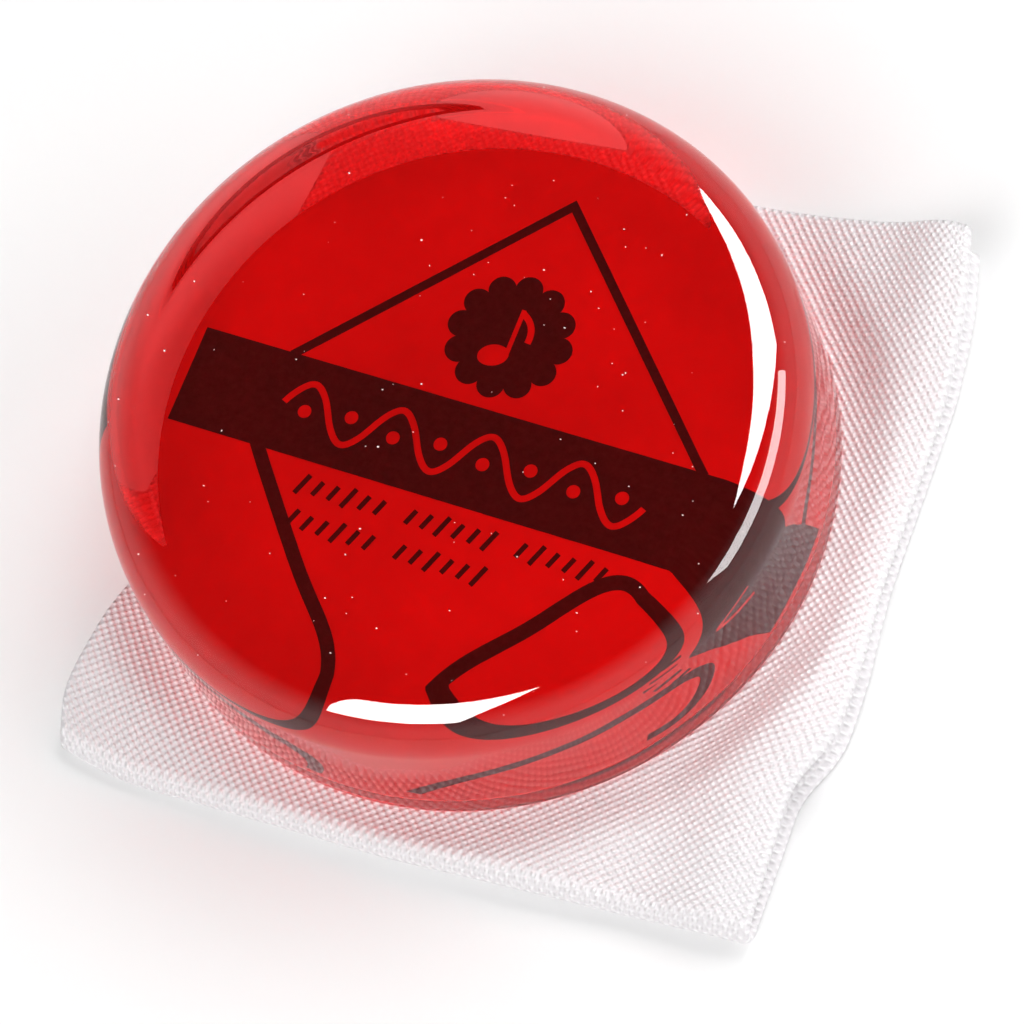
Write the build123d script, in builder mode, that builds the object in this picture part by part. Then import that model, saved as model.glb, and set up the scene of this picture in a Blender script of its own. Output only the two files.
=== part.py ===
"""Round violin rosin: a clear cast cake with a printed label under it, lying on a folded cloth.

Frame: millimetres, +Z up. The origin is on the cake's axis, on the surface that the cloth lies on.
+X runs along the label's band, as it is read, and +Y points to the label's top.
"""

import os
from math import cos, pi, sin

from build123d import *

# Cake: a flat disc that widens slightly towards its base, with a full round top edge
BASE_RADIUS = 21.2
TOP_RADIUS = 20.9
CAKE_HEIGHT = 11.8
TOP_EDGE = 3.2
BASE_EDGE = 0.35

# Cloth: a square of woven cloth, folded in four a little out of true
CLOTH_OUTLINE = [(-20.0, -23.6), (25.0, -23.6), (25.0, 22.4), (-15.2, 18.6)]
CLOTH_STACK = 2.4
CLOTH_EDGE = 0.8

# Label: a printed paper disc, set flush in the underside of the cake
LABEL_RADIUS = 18.6
PAPER = 0.16
INK = 0.04
LABEL_POCKET = PAPER + INK

# Print on the label
BAND_LENGTH = 35.8
BAND_HEIGHT = 6.1
BAND_MIDDLE = -1.0
RULE = 0.55
LEG_RULE = 0.825
LOOP_RULE = 0.88
APEX = (0.6, 15.6)
GABLE_LEFT = (-12.2, 1.9)
GABLE_RIGHT = (14.1, 1.9)
LEG_LINE = [(-12.3, -3.6), (-9.0, -7.6), (-5.4, -11.7), (-2.9, -14.6), (-2.4, -17.8)]
LOOP_LINE = [(3.0, -17.2), (4.4, -13.7), (8.1, -9.4), (12.6, -5.6), (14.4, -7.4), (13.4, -11.0)]
SEAL_CENTRE = (0.0, 6.7)
SEAL_RADIUS = 3.1
SEAL_PETALS = 12
PETAL_RADIUS = 0.84
SCROLL_LENGTH = 23.0
SCROLL_TURNS = 4
SCROLL_HEIGHT = 1.55
SCROLL_STROKE = 0.42
BEAD_RADIUS = 0.42
BEAD_OFFSET = 0.23

# Quaver left clear in the seal, from the seal's centre
HEAD_CENTRE = (-0.55, -1.35)
HEAD_HALF_WIDTH = 0.95
HEAD_HALF_HEIGHT = 0.68
HEAD_TILT = 20
STEM_CENTRE = (0.2, 0.25)
STEM_WIDTH = 0.3
STEM_HEIGHT = 3.2
FLAG_LINE = [(0.15, 1.65), (1.0, 0.9), (1.15, -0.1)]
FLAG_STROKE = 0.42

# Two rows of short slanted strokes under the band: height, first stroke, number of strokes
STROKE_ROWS = [(-5.5, -8.4, 20), (-7.7, -8.2, 13)]
STROKE_PITCH = 1.0
STROKE_GROUP = 7
STROKE_WIDTH = 0.3
SHORT_STROKE = 1.0
LONG_STROKE = 1.4
LONG_EVERY = 3
STROKE_LEAN = -22

base_z = CLOTH_STACK
top_z = base_z + CAKE_HEIGHT
paper_top = base_z + PAPER


# ---------------------------------------------------------------- cast cake
with BuildPart() as rosin_cake:
    with BuildSketch(Plane.XZ):
        with BuildLine():
            Polyline(
                (0, base_z),
                (BASE_RADIUS, base_z),
                (TOP_RADIUS, top_z),
                (0, top_z),
                close=True,
            )
        make_face()
    revolve(axis=Axis.Z)
    fillet(rosin_cake.edges().filter_by(GeomType.CIRCLE).group_by(Axis.Z)[-1], TOP_EDGE)
    fillet(rosin_cake.edges().filter_by(GeomType.CIRCLE).group_by(Axis.Z)[0], BASE_EDGE)
    with BuildSketch(Plane.XY.offset(base_z)):
        Circle(LABEL_RADIUS)
    extrude(amount=LABEL_POCKET, mode=Mode.SUBTRACT)

# ---------------------------------------------------------------- label paper
with BuildPart() as label_paper:
    with BuildSketch(Plane.XY.offset(base_z)):
        Circle(LABEL_RADIUS)
    extrude(amount=PAPER)


# ---------------------------------------------------------------- label print
def scroll_points():
    """Points of the running scroll that is left clear along the band."""
    steps = 8 * SCROLL_TURNS
    return [
        (
            SCROLL_LENGTH * (i / steps - 0.5),
            BAND_MIDDLE + SCROLL_HEIGHT * sin(2 * pi * SCROLL_TURNS * i / steps),
        )
        for i in range(steps + 1)
    ]


def bead_places():
    """One bead inside each half turn of the scroll."""
    half = SCROLL_LENGTH / (2 * SCROLL_TURNS)
    return [
        (
            -SCROLL_LENGTH / 2 + half * (i + 0.5),
            BAND_MIDDLE - (-1) ** i * BEAD_OFFSET,
        )
        for i in range(2 * SCROLL_TURNS)
    ]


def in_seal(place):
    """A place given from the seal's centre, on the label."""
    return (SEAL_CENTRE[0] + place[0], SEAL_CENTRE[1] + place[1])


def petal_places():
    """Centres of the round petals about the seal."""
    return [
        (
            SEAL_CENTRE[0] + SEAL_RADIUS * cos(2 * pi * i / SEAL_PETALS),
            SEAL_CENTRE[1] + SEAL_RADIUS * sin(2 * pi * i / SEAL_PETALS),
        )
        for i in range(SEAL_PETALS)
    ]


with BuildPart() as label_print:
    with BuildSketch(Plane.XY.offset(paper_top)):
        # Band, with its running scroll and beads left clear
        with Locations((0, BAND_MIDDLE)):
            Rectangle(BAND_LENGTH, BAND_HEIGHT)
        with BuildLine() as scroll:
            Spline(scroll_points())
        trace(scroll.line, line_width=SCROLL_STROKE, mode=Mode.SUBTRACT)
        with Locations(bead_places()):
            Circle(BEAD_RADIUS, mode=Mode.SUBTRACT)
        # Gable of two straight rules above the band
        with BuildLine() as gable:
            Polyline(GABLE_LEFT, APEX, GABLE_RIGHT)
        trace(gable.line, line_width=RULE)
        # Two curved rules below the band
        with BuildLine() as left_rule:
            Spline(LEG_LINE)
        trace(left_rule.line, line_width=LEG_RULE)
        with BuildLine() as right_rule:
            Spline(LOOP_LINE)
        trace(right_rule.line, line_width=LOOP_RULE)
    extrude(amount=INK)
    # Seal with a round-petalled edge and a plain quaver left clear
    with BuildSketch(Plane.XY.offset(paper_top)):
        with Locations(SEAL_CENTRE):
            Circle(SEAL_RADIUS)
        with Locations(petal_places()):
            Circle(PETAL_RADIUS)
        with Locations(in_seal(HEAD_CENTRE)):
            Ellipse(HEAD_HALF_WIDTH, HEAD_HALF_HEIGHT, rotation=HEAD_TILT, mode=Mode.SUBTRACT)
        with Locations(in_seal(STEM_CENTRE)):
            Rectangle(STEM_WIDTH, STEM_HEIGHT, mode=Mode.SUBTRACT)
        with BuildLine() as flag:
            Spline([in_seal(point) for point in FLAG_LINE])
        trace(flag.line, line_width=FLAG_STROKE, mode=Mode.SUBTRACT)
    extrude(amount=INK)
    # Two rows of strokes, each with a gap after every group
    for row_y, first_x, strokes in STROKE_ROWS:
        for i in range(strokes):
            if (i + 1) % STROKE_GROUP == 0:
                continue
            with BuildSketch(Plane.XY.offset(paper_top)):
                with Locations((first_x + i * STROKE_PITCH, row_y)):
                    Rectangle(
                        STROKE_WIDTH,
                        SHORT_STROKE if i % LONG_EVERY else LONG_STROKE,
                        rotation=STROKE_LEAN,
                    )
            extrude(amount=INK)

# ---------------------------------------------------------------- folded cloth
with BuildPart() as folded_cloth:
    with BuildSketch():
        with BuildLine():
            Polyline(*CLOTH_OUTLINE, close=True)
        make_face()
    extrude(amount=CLOTH_STACK)
    chamfer(folded_cloth.edges().group_by(Axis.Z)[-1], CLOTH_EDGE)

os.makedirs("parts", exist_ok=True)
for name, piece in (
    ("rosin_cake", rosin_cake),
    ("label_paper", label_paper),
    ("label_print", label_print),
    ("folded_cloth", folded_cloth),
):
    piece.part.label = name
    export_step(piece.part, f"parts/{name}.step")
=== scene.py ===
"""A round red rosin cake with a printed label under it, lying on its folded white cloth."""

import math
import random

import bmesh
import bpy
import numpy as np
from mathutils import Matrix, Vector, noise


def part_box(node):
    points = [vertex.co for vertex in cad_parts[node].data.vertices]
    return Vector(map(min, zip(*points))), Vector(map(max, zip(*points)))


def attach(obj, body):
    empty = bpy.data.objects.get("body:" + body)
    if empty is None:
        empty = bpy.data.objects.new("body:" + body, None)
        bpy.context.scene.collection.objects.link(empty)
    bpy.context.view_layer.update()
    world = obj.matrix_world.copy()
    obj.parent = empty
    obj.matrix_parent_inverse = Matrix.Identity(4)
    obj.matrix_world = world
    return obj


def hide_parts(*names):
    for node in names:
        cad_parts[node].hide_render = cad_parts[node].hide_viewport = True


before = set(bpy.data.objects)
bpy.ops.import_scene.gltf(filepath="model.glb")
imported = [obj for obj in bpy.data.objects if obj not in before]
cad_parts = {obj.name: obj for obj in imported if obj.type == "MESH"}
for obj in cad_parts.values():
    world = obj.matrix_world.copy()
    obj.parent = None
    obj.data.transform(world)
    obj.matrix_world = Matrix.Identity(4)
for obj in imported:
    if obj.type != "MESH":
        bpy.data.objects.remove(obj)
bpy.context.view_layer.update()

MM = 0.001
SEED = 7

# Cake, from the frame
cake_low, cake_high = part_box("rosin_cake")
paper_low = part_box("label_paper")[0]
BASE_RADIUS = (cake_high.x - cake_low.x) / 2
WALL_LEAN = 0.3 * MM
TOP_RADIUS = BASE_RADIUS - WALL_LEAN
TOP_EDGE = 3.2 * MM
BASE_EDGE = 0.35 * MM
UNDER_PAPER = 0.05 * MM  # the clear body starts just above the paper's underside
AROUND = 384
WAVE_DEPTH = 0.05 * MM  # broad waves that the mould left in the wall
STREAK_DEPTH = 0.022 * MM  # fine upright streaks in the wall
CALM_SIDE = math.radians(-50)  # where round the wall those marks are faintest
GRAINS = 110
GRAIN_SIZES = (0.018 * MM, 0.05 * MM)

# Cloth, from the frame
cloth_low, cloth_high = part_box("folded_cloth")
CLOTH_WIDTH = cloth_high.x - cloth_low.x
CLOTH_DEPTH = cloth_high.y - cloth_low.y
CLOTH_TOP = cloth_high.z
SHEET = 0.3 * MM
LAYER_GAP = 0.62 * MM
WEAVE = 0.30 * MM
THREAD_RELIEF = 0.12 * MM
DRAWN_X, DRAWN_Y = 4.8 * MM, 3.8 * MM  # how far the far left corner is drawn in
FREE_RUN = 3.5 * MM  # from the cake's foot to where nothing presses on the cloth
LOWER_DROP = 0.75 * MM  # how far the lower edge sags
LAYER_STEP = 0.5 * MM
SWELL, SWELL_WAVE = 0.28, 0.30  # how much thicker the stack is where it is free, and how that varies
LOOP_RISE = 0.35  # how much higher again the loops along the right edge stand
RIPPLE = 0.45 * MM
RIPPLE_RATE = np.array([120, 120, 300])  # how fast the ripples vary along x, y and z, per metre

# How far each edge of the folded cloth stands out or in: (place along it, offset), in millimetres
RIGHT_EDGE = [(-24, -0.3), (-17, -0.4), (-13.5, -0.6), (-10, 0.9), (-5, 0.7)]
RIGHT_EDGE += [(0, 0), (13, -0.4), (18, -1.2), (23, -2.8)]
LOWER_EDGE = [(-21, 1.6), (-18, 0.4), (-14, -0.2), (3, 0.3), (15, 1.4), (25, 2.2)]
LEFT_EDGE = [(-24, 1.6), (-21, 0.2), (-15, 0.5), (-8, 0.9), (0, 0.6), (23, 0.4)]

# Camera: where it stands, and how it is turned
CAMERA_AZIMUTH, CAMERA_ELEVATION, CAMERA_ROLL = 49.8, 64.12, -30.2
CAMERA_DISTANCE = 257.2 * MM
CAMERA_LENS = 153.7
SENSOR = 36.0
TARGET = Vector((2.54 * MM, -2.03 * MM, cake_low.z))

# Softboxes: name, azimuth, elevation, width and height in degrees, and how bright each is to
# matt and to polished surfaces
SOFTBOXES = [
    ("front_softbox", -4, 51, 28, 34, 4.0, 24.0),
    ("back_softbox", 163, 54, 30, 34, 4.0, 20.0),
    ("side_softbox", 112, 33, 44, 16, 3.2, 9.0),
]


# ------------------------------------------------------------------ node help
class Nodes:
    """A material's node tree, with short calls for the nodes used here."""

    def __init__(self, name):
        self.material = bpy.data.materials.new(name)
        self.material.use_nodes = True
        self.tree = self.material.node_tree
        self.shader = self.tree.nodes["Principled BSDF"]
        self.output = self.tree.nodes["Material Output"]

    def add(self, kind, **values):
        node = self.tree.nodes.new(kind)
        for key, value in values.items():
            setattr(node, key, value)
        return node

    def link(self, source, target):
        self.tree.links.new(source, target)

    def math(self, operation, a, b=None):
        node = self.add("ShaderNodeMath", operation=operation)
        for i, value in enumerate((a, b)):
            if value is None:
                continue
            if isinstance(value, (int, float)):
                node.inputs[i].default_value = value
            else:
                self.link(value, node.inputs[i])
        return node.outputs[0]

    def noise(self, scale, detail=4.0, roughness=0.5, vector=None):
        node = self.add("ShaderNodeTexNoise")
        node.inputs["Scale"].default_value = scale
        node.inputs["Detail"].default_value = detail
        node.inputs["Roughness"].default_value = roughness
        if vector is not None:
            self.link(vector, node.inputs["Vector"])
        return node.outputs["Fac"]

    def ramp(self, factor, stops):
        node = self.add("ShaderNodeValToRGB")
        elements = node.color_ramp.elements
        while len(elements) < len(stops):
            elements.new(0.5)
        for element, (place, colour) in zip(elements, stops):
            element.position = place
            element.color = (*colour, 1)
        self.link(factor, node.inputs["Fac"])
        return node.outputs["Color"]

    def bump(self, height, strength, distance):
        node = self.add("ShaderNodeBump")
        node.inputs["Strength"].default_value = strength
        node.inputs["Distance"].default_value = distance
        self.link(height, node.inputs["Height"])
        self.link(node.outputs["Normal"], self.shader.inputs["Normal"])

    def position(self):
        return self.add("ShaderNodeTexCoord").outputs["Object"]


# ------------------------------------------------------------------ materials
def rosin_material():
    """Clear cast rosin: the colour comes from the depth of resin that light crosses."""
    m = Nodes("rosin")
    m.shader.inputs["Base Color"].default_value = (1.0, 0.97, 0.97, 1)
    m.shader.inputs["Transmission Weight"].default_value = 1.0
    m.shader.inputs["IOR"].default_value = 1.53
    m.shader.inputs["Roughness"].default_value = 0.015
    depth = m.add("ShaderNodeVolumeAbsorption")
    depth.inputs["Color"].default_value = (0.95, 0.13, 0.14, 1)
    depth.inputs["Density"].default_value = 240.0
    m.link(depth.outputs[0], m.output.inputs["Volume"])
    return m.material


def paper_material():
    """Smooth label stock, a little cloudy, tinted red."""
    m = Nodes("label_paper")
    cloud = m.noise(90.0, 3.0, 0.6, m.position())
    tint = m.ramp(cloud, [(0.3, (0.50, 0.040, 0.040)), (0.7, (0.60, 0.055, 0.052))])
    m.link(tint, m.shader.inputs["Base Color"])
    m.shader.inputs["Roughness"].default_value = 0.55
    m.shader.inputs["Specular IOR Level"].default_value = 0.0
    return m.material


def ink_material():
    """Dark printing ink with slightly uneven cover."""
    m = Nodes("label_ink")
    cover = m.noise(2500.0, 4.0, 0.6, m.position())
    tint = m.ramp(cover, [(0.3, (0.045, 0.012, 0.012)), (0.8, (0.065, 0.020, 0.020))])
    m.link(tint, m.shader.inputs["Base Color"])
    m.shader.inputs["Roughness"].default_value = 0.5
    m.shader.inputs["Specular IOR Level"].default_value = 0.0
    return m.material


def dust_material():
    """Pale powder, a little uneven."""
    m = Nodes("rosin_dust")
    grain = m.noise(9000.0, 2.0, 0.5, m.position())
    tint = m.ramp(grain, [(0.3, (0.95, 0.80, 0.78)), (0.7, (1.0, 0.93, 0.92))])
    m.link(tint, m.shader.inputs["Base Color"])
    m.shader.inputs["Roughness"].default_value = 0.8
    return m.material


def cloth_material():
    """White woven cloth: staggered thread crossings, laid along the flat cloth's own threads; its
    colour has painted shade in the gaps between threads and random fibre tone.
    """
    m = Nodes("woven_cloth")
    flat = m.add("ShaderNodeUVMap", uv_map="threads").outputs["UV"]
    parts = m.add("ShaderNodeSeparateXYZ")
    m.link(flat, parts.inputs[0])
    step = math.pi / (WEAVE / MM)
    waver = m.math("MULTIPLY", m.noise(0.35, 3.0, 0.5, flat), 1.2)
    across = m.math("SINE", m.math("ADD", m.math("MULTIPLY", parts.outputs["X"], step), waver))
    along = m.math("SINE", m.math("ADD", m.math("MULTIPLY", parts.outputs["Y"], step), waver))
    crossing = m.math("MULTIPLY", across, along)
    knuckle = m.math("MAXIMUM", crossing, 0.0)
    sunk = m.math("MULTIPLY", m.math("MINIMUM", crossing, 0.0), 0.35)
    fibre = m.math("MULTIPLY", m.noise(9.0, 2.0, 0.6, flat), 0.35)
    height = m.math("ADD", m.math("ADD", knuckle, sunk), fibre)
    # Painted shade: the colour follows the weave's relief, darkest where it sinks between threads and
    # lightest on the crossings; the fibre noise adds random tone
    tint = m.ramp(
        height,
        [(0.0, (0.78, 0.75, 0.77)), (0.35, (0.90, 0.87, 0.89)), (0.9, (0.98, 0.965, 0.975))],
    )
    m.link(tint, m.shader.inputs["Base Color"])
    m.shader.inputs["Roughness"].default_value = 0.55
    m.shader.inputs["Sheen Weight"].default_value = 0.25
    m.bump(height, 0.9, THREAD_RELIEF)
    return m.material


# ------------------------------------------------------------------ mesh help
def new_object(name, vertices, faces, material, smooth=True):
    mesh = bpy.data.meshes.new(name)
    mesh.from_pydata([tuple(v) for v in vertices], [], faces)
    mesh.materials.append(material)
    mesh.polygons.foreach_set("use_smooth", [smooth] * len(mesh.polygons))
    mesh.update()
    piece = bpy.data.objects.new(name, mesh)
    bpy.context.scene.collection.objects.link(piece)
    return piece


def lathe(profile, around, shift=None):
    """Vertices and faces of a profile turned about +Z. The profile runs from axis to axis."""
    vertices, faces = [], []
    rings = profile[1:-1]
    for radius, z in rings:
        for j in range(around):
            angle = 2 * math.pi * j / around
            out = radius + (shift(radius, z, angle) if shift else 0.0)
            vertices.append((out * math.cos(angle), out * math.sin(angle), z))
    for i in range(len(rings) - 1):
        for j in range(around):
            k = (j + 1) % around
            lower, upper = i * around, (i + 1) * around
            faces.append((lower + j, lower + k, upper + k, upper + j))
    for end, ring in ((0, 0), (-1, len(rings) - 1)):
        vertices.append((0, 0, profile[end][1]))
        centre = len(vertices) - 1
        for j in range(around):
            k = (j + 1) % around
            corner = (ring * around + k, ring * around + j)
            faces.append((centre, *(corner if end == 0 else corner[::-1])))
    return vertices, faces


# ------------------------------------------------------------------ cake
def quarter(centre_r, centre_z, radius, start, end, count):
    """Points of an arc in the half section, between two angles in degrees."""
    angles = [math.radians(a) for a in np.linspace(start, end, count)]
    return [(centre_r + radius * math.cos(a), centre_z + radius * math.sin(a)) for a in angles]


def cake_profile():
    """Half section of the cake: flat underside, leaning wall, full round top edge, flat top."""
    low, high = paper_low.z + UNDER_PAPER, cake_high.z
    points = [(0, low)]
    points += [(r * BASE_RADIUS, low) for r in (0.5, 0.9)]
    points += quarter(BASE_RADIUS - BASE_EDGE, low + BASE_EDGE, BASE_EDGE, -90, 0, 7)
    for share in np.linspace(0, 1, 15)[1:-1]:
        z = low + BASE_EDGE + share * (high - TOP_EDGE - low - BASE_EDGE)
        points.append((BASE_RADIUS + share * (TOP_RADIUS - BASE_RADIUS), z))
    points += quarter(TOP_RADIUS - TOP_EDGE, high - TOP_EDGE, TOP_EDGE, 0, 90, 25)
    points += [(r * TOP_RADIUS, high) for r in (0.75, 0.5, 0.25)]
    points.append((0, high))
    return points


def mould_marks(radius, z, angle):
    """How far the wall stands in or out from the mould's marks; the rounded top edge has none."""
    share = (z - cake_low.z) / (cake_high.z - TOP_EDGE - cake_low.z)
    if radius < TOP_RADIUS - 0.1 * MM or share > 1:
        return 0.0
    fade = math.sin(math.pi * max(0.0, min(1.0, share)))
    place = Vector((math.cos(angle) * 9, math.sin(angle) * 9, z * 700))
    streak = noise.noise(Vector((math.cos(angle) * 45, math.sin(angle) * 45, z * 120)))
    rough = 0.5 - 0.5 * math.cos(angle - CALM_SIDE)
    return fade * (0.3 + 0.7 * rough) * (WAVE_DEPTH * noise.noise(place) + STREAK_DEPTH * streak)


def make_cake():
    """The clear body, closed over the label so that the paper and ink touch the resin."""
    vertices, faces = lathe(cake_profile(), AROUND, mould_marks)
    cake = new_object("clear_rosin_cake", vertices, faces, rosin_material())
    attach(cake, "cake")
    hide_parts("rosin_cake")


def make_dust():
    """Fine rosin dust: grains lying on the top face and its rounded edge."""
    rng = random.Random(SEED)
    shape = bmesh.new()
    for _ in range(GRAINS):
        angle = rng.uniform(0, 2 * math.pi)
        spread = math.sqrt(rng.random())
        radius = spread * (TOP_RADIUS - 0.6 * MM)
        inside = TOP_RADIUS - TOP_EDGE
        z = cake_high.z
        if radius > inside:
            z = cake_high.z - TOP_EDGE + math.sqrt(TOP_EDGE**2 - (radius - inside) ** 2)
        size = rng.uniform(*GRAIN_SIZES)
        made = bmesh.ops.create_icosphere(shape, subdivisions=2, radius=size)
        stretch = Vector((rng.uniform(0.7, 1.7), rng.uniform(0.7, 1.3), rng.uniform(0.4, 0.8)))
        for v in made["verts"]:
            v.co = Vector(a * b for a, b in zip(v.co, stretch))
            v.co *= 1 + 0.25 * noise.noise(v.co * 30000 + Vector((angle, spread, 0)))
            v.co += Vector((radius * math.cos(angle), radius * math.sin(angle), z + 0.2 * size))
    mesh = bpy.data.meshes.new("rosin_dust")
    shape.to_mesh(mesh)
    shape.free()
    mesh.materials.append(dust_material())
    dust = bpy.data.objects.new("rosin_dust", mesh)
    bpy.context.scene.collection.objects.link(dust)
    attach(dust, "cake")


# ------------------------------------------------------------------ cloth
def fold_samples(length, middle):
    """Places along a cloth's side, closer together where it folds over."""
    near = 2.2 * MM
    return np.unique(
        np.concatenate(
            [
                np.linspace(0, middle - near, 62),
                np.linspace(middle - near, middle + near, 34),
                np.linspace(middle + near, length, 62),
            ]
        )
    )


def bend(path, half, radius):
    """Folds a path over at its middle: the angle turned, and the flat run from the bend."""
    start = half - math.pi * radius / 2
    end = start + math.pi * radius
    turn = np.clip((path - start) / radius, 0, math.pi)
    run = np.maximum(start - path, 0) + np.maximum(path - end, 0)
    return turn, run


def edge_line(places, table):
    """A smooth run through a few (place, offset) pairs, all in millimetres."""
    known = np.array(table, float)
    fine = np.linspace(known[0, 0], known[-1, 0], 400)
    values = np.interp(fine, known[:, 0], known[:, 1])
    kernel = np.hanning(41)
    padded = np.pad(values, 20, mode="edge")
    values = np.convolve(padded, kernel / kernel.sum(), mode="valid")
    return np.interp(places / MM, fine, values) * MM


def fold_in_four(path_s, path_t, width, length):
    """Where each place of the flat cloth lies once the cloth is folded twice, and its pair's lift."""
    small = LAYER_GAP / 2
    large = (CLOTH_TOP - SHEET) / 2 - small

    # First fold, along the right edge: it makes a pair of layers
    turn, run = bend(path_s, width / 2, small)
    x = cloth_high.x - (small - small * np.sin(turn) + run)
    lift = -small * np.cos(turn)

    # Second fold, along the lower edge: each layer of the pair has its own radius there
    outer = large - lift
    turn, run = bend(path_t, length / 2, large)
    y = cloth_low.y + large + run - outer * np.sin(turn)
    z = CLOTH_TOP / 2 - outer * np.cos(turn)

    # The pair's inner layer stands back a little from the right edge
    share_x = np.clip((x - cloth_low.x) / CLOTH_WIDTH, 0, 1)
    inner = np.where(np.abs(lift - small) < small, 1.0, 0.0)
    return x, y, z, share_x**8 * LAYER_STEP * inner


def loosen_edges(x, y, step):
    """Soft, uneven edges, with the far left corner drawn in a little out of true."""
    share_x = np.clip((x - cloth_low.x) / CLOTH_WIDTH, 0, 1)
    share_y = np.clip((y - cloth_low.y) / CLOTH_DEPTH, 0, 1)
    x = x + share_x**6 * edge_line(y, RIGHT_EDGE) + (1 - share_x) ** 6 * edge_line(y, LEFT_EDGE)
    y = y + (1 - share_y) ** 6 * edge_line(x, LOWER_EDGE)
    x = x - step
    back_share = np.clip((y - cloth_low.y) / CLOTH_DEPTH, 0, 1)
    left_share = np.clip((cloth_high.x - x) / CLOTH_WIDTH, 0, 1)
    return x + DRAWN_X * left_share * back_share, y - DRAWN_Y * left_share * back_share


def let_rise(x, y, z, share_x, share_y):
    """Heights once the loops of the folds stand up where the cake doesn't press on them."""
    upper = np.clip(z / CLOTH_TOP, 0, 1)
    free = np.clip((np.hypot(x, y) - BASE_RADIUS) / FREE_RUN, 0, 1)
    free = free * free * (3 - 2 * free)
    waves = np.sin(y / MM * 0.21 + 0.6) * np.sin(x / MM * 0.13 + 1.0)
    near_fold = np.exp(-(((1 - share_x) * CLOTH_WIDTH / MM - 2.5) / 3.0) ** 2)
    z = z * (1 + free * (SWELL + SWELL_WAVE * waves) + LOOP_RISE * free * near_fold)
    z = z - free * upper * LOWER_DROP * np.clip(1 - share_y * 9, 0, 1)
    from_corner = np.hypot(x - cloth_high.x, y - cloth_high.y) / MM
    z = z * (1 + LOOP_RISE * (1 - np.clip((from_corner - 2) / 10, 0, 1)) * free)
    places = np.stack([x, y, z], -1).reshape(-1, 3) * RIPPLE_RATE
    ripples = np.array([noise.noise(Vector(place)) for place in places]).reshape(x.shape)
    return np.maximum(z + free * upper * RIPPLE * ripples, SHEET / 2)


def make_cloth():
    """One continuous sheet, folded twice, with its flat threads kept as its UV map."""
    width, length = 2 * CLOTH_WIDTH, 2 * CLOTH_DEPTH
    s = fold_samples(width, width / 2)
    t = fold_samples(length, length / 2)
    path_s, path_t = np.meshgrid(s, t, indexing="ij")
    x, y, z, step = fold_in_four(path_s, path_t, width, length)
    share_x = np.clip((x - cloth_low.x) / CLOTH_WIDTH, 0, 1)
    share_y = np.clip((y - cloth_low.y) / CLOTH_DEPTH, 0, 1)
    x, y = loosen_edges(x, y, step)
    z = let_rise(x, y, z, share_x, share_y)

    rows, columns = x.shape
    vertices = np.stack([x, y, z], -1).reshape(-1, 3)
    faces = [
        (i * columns + j, (i + 1) * columns + j, (i + 1) * columns + j + 1, i * columns + j + 1)
        for i in range(rows - 1)
        for j in range(columns - 1)
    ]
    cloth = new_object("folded_woven_cloth", vertices, faces, cloth_material())
    threads = cloth.data.uv_layers.new(name="threads")
    loops = np.zeros(len(cloth.data.loops), int)
    cloth.data.loops.foreach_get("vertex_index", loops)
    flat = np.stack([path_s, path_t], -1).reshape(-1, 2) / MM
    threads.data.foreach_set("uv", flat[loops].ravel())

    finer = cloth.modifiers.new("finer", "SUBSURF")
    finer.levels = finer.render_levels = 1
    thick = cloth.modifiers.new("thick", "SOLIDIFY")
    thick.thickness = SHEET
    thick.offset = 0.0
    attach(cloth, "cloth")
    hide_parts("folded_cloth")


# ------------------------------------------------------------------ studio
def make_floor():
    m = Nodes("studio_floor")
    m.shader.inputs["Base Color"].default_value = (0.93, 0.93, 0.93, 1)
    m.shader.inputs["Roughness"].default_value = 0.9
    side = 3.0
    corners = [(-side, -side, 0), (side, -side, 0), (side, side, 0), (-side, side, 0)]
    floor = new_object("studio_floor", corners, [(0, 1, 2, 3)], m.material, smooth=False)


def direction(azimuth, elevation):
    a, e = math.radians(azimuth), math.radians(elevation)
    return Vector((math.sin(a) * math.cos(e), -math.cos(a) * math.cos(e), math.sin(e)))


def softbox(name, azimuth, elevation, width, height, radiance, distance, only_shine=False):
    """A rectangular softbox that faces the cake, as wide and high as the angles given."""
    lamp = bpy.data.lights.new(name, "AREA")
    lamp.shape = "RECTANGLE"
    lamp.size = 2 * distance * math.tan(math.radians(width / 2))
    lamp.size_y = 2 * distance * math.tan(math.radians(height / 2))
    lamp.energy = radiance * math.pi * lamp.size * lamp.size_y
    holder = bpy.data.objects.new(name, lamp)
    holder.location = direction(azimuth, elevation) * distance
    holder.rotation_mode = "QUATERNION"
    holder.rotation_quaternion = direction(azimuth, elevation).to_track_quat("Z", "Y")
    holder.visible_diffuse = holder.visible_transmission = not only_shine
    bpy.context.scene.collection.objects.link(holder)


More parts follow.
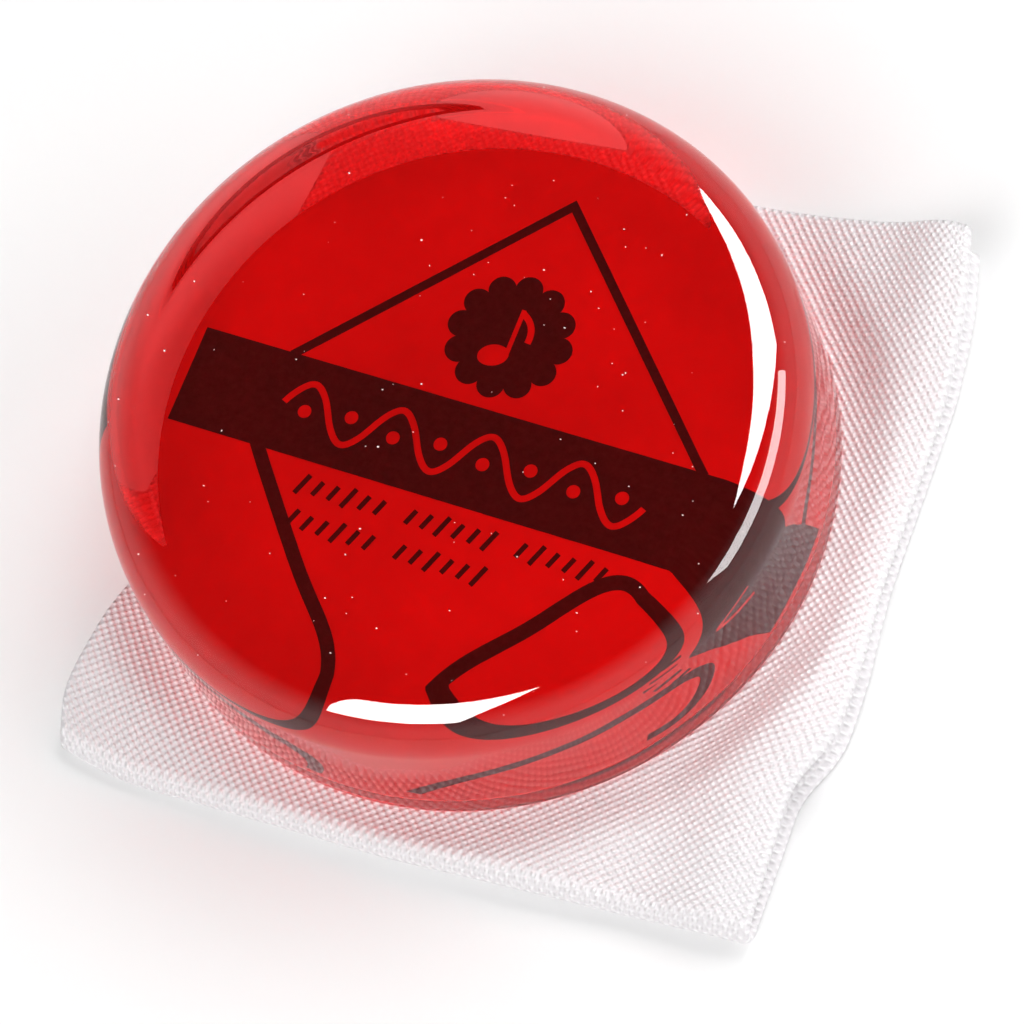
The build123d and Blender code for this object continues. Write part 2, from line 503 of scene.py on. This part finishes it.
def make_studio():
    world = bpy.data.worlds.new("studio")
    world.use_nodes = True
    background = world.node_tree.nodes["Background"]
    tree = world.node_tree
    aim = tree.nodes.new("ShaderNodeTexCoord")
    height = tree.nodes.new("ShaderNodeSeparateXYZ")
    shade = tree.nodes.new("ShaderNodeValToRGB")
    for element, (place, grey) in zip(shade.color_ramp.elements, ((0.3, 1.0), (0.8, 0.07))):
        element.position = place
        element.color = (grey, grey, grey, 1)
    tree.links.new(aim.outputs["Generated"], height.inputs[0])
    tree.links.new(height.outputs["Z"], shade.inputs["Fac"])
    tree.links.new(shade.outputs["Color"], background.inputs["Color"])
    background.inputs["Strength"].default_value = 1.0
    bpy.context.scene.world = world
    for name, azimuth, elevation, width, height, lit, shine in SOFTBOXES:
        softbox(name, azimuth, elevation, width, height, lit, 0.6)
        softbox(name + "_shine", azimuth, elevation, width, height, shine, 0.55, only_shine=True)


def make_camera():
    lens = bpy.data.cameras.new("camera")
    lens.lens, lens.sensor_width = CAMERA_LENS, SENSOR
    lens.clip_start, lens.clip_end = 0.01, 20.0
    camera = bpy.data.objects.new("camera", lens)
    back = direction(CAMERA_AZIMUTH, CAMERA_ELEVATION)
    camera.location = Vector((0, 0, cake_low.z)) + back * CAMERA_DISTANCE
    away = (camera.location - TARGET).normalized()
    upright = away.to_track_quat("Z", "Y").to_matrix()
    right, up = upright.col[0], upright.col[1]
    roll = math.radians(CAMERA_ROLL)
    turned_right = math.cos(roll) * right + math.sin(roll) * up
    turned_up = -math.sin(roll) * right + math.cos(roll) * up
    camera.rotation_mode = "QUATERNION"
    matrix = upright.copy()
    matrix.col[0], matrix.col[1], matrix.col[2] = turned_right, turned_up, away
    camera.rotation_quaternion = matrix.to_quaternion()
    bpy.context.scene.collection.objects.link(camera)
    bpy.context.scene.camera = camera


def paint(node, material):
    """Gives a CAD node its material."""
    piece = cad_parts[node]
    for slot in piece.material_slots:
        slot.material = material


make_camera()
make_studio()
make_floor()
make_cake()
make_dust()
make_cloth()
paint("label_paper", paper_material())
paint("label_print", ink_material())
bpy.context.scene.view_settings.view_transform = "Standard"
bpy.context.scene.cycles.max_bounces = 16
bpy.context.scene.cycles.transmission_bounces = 16
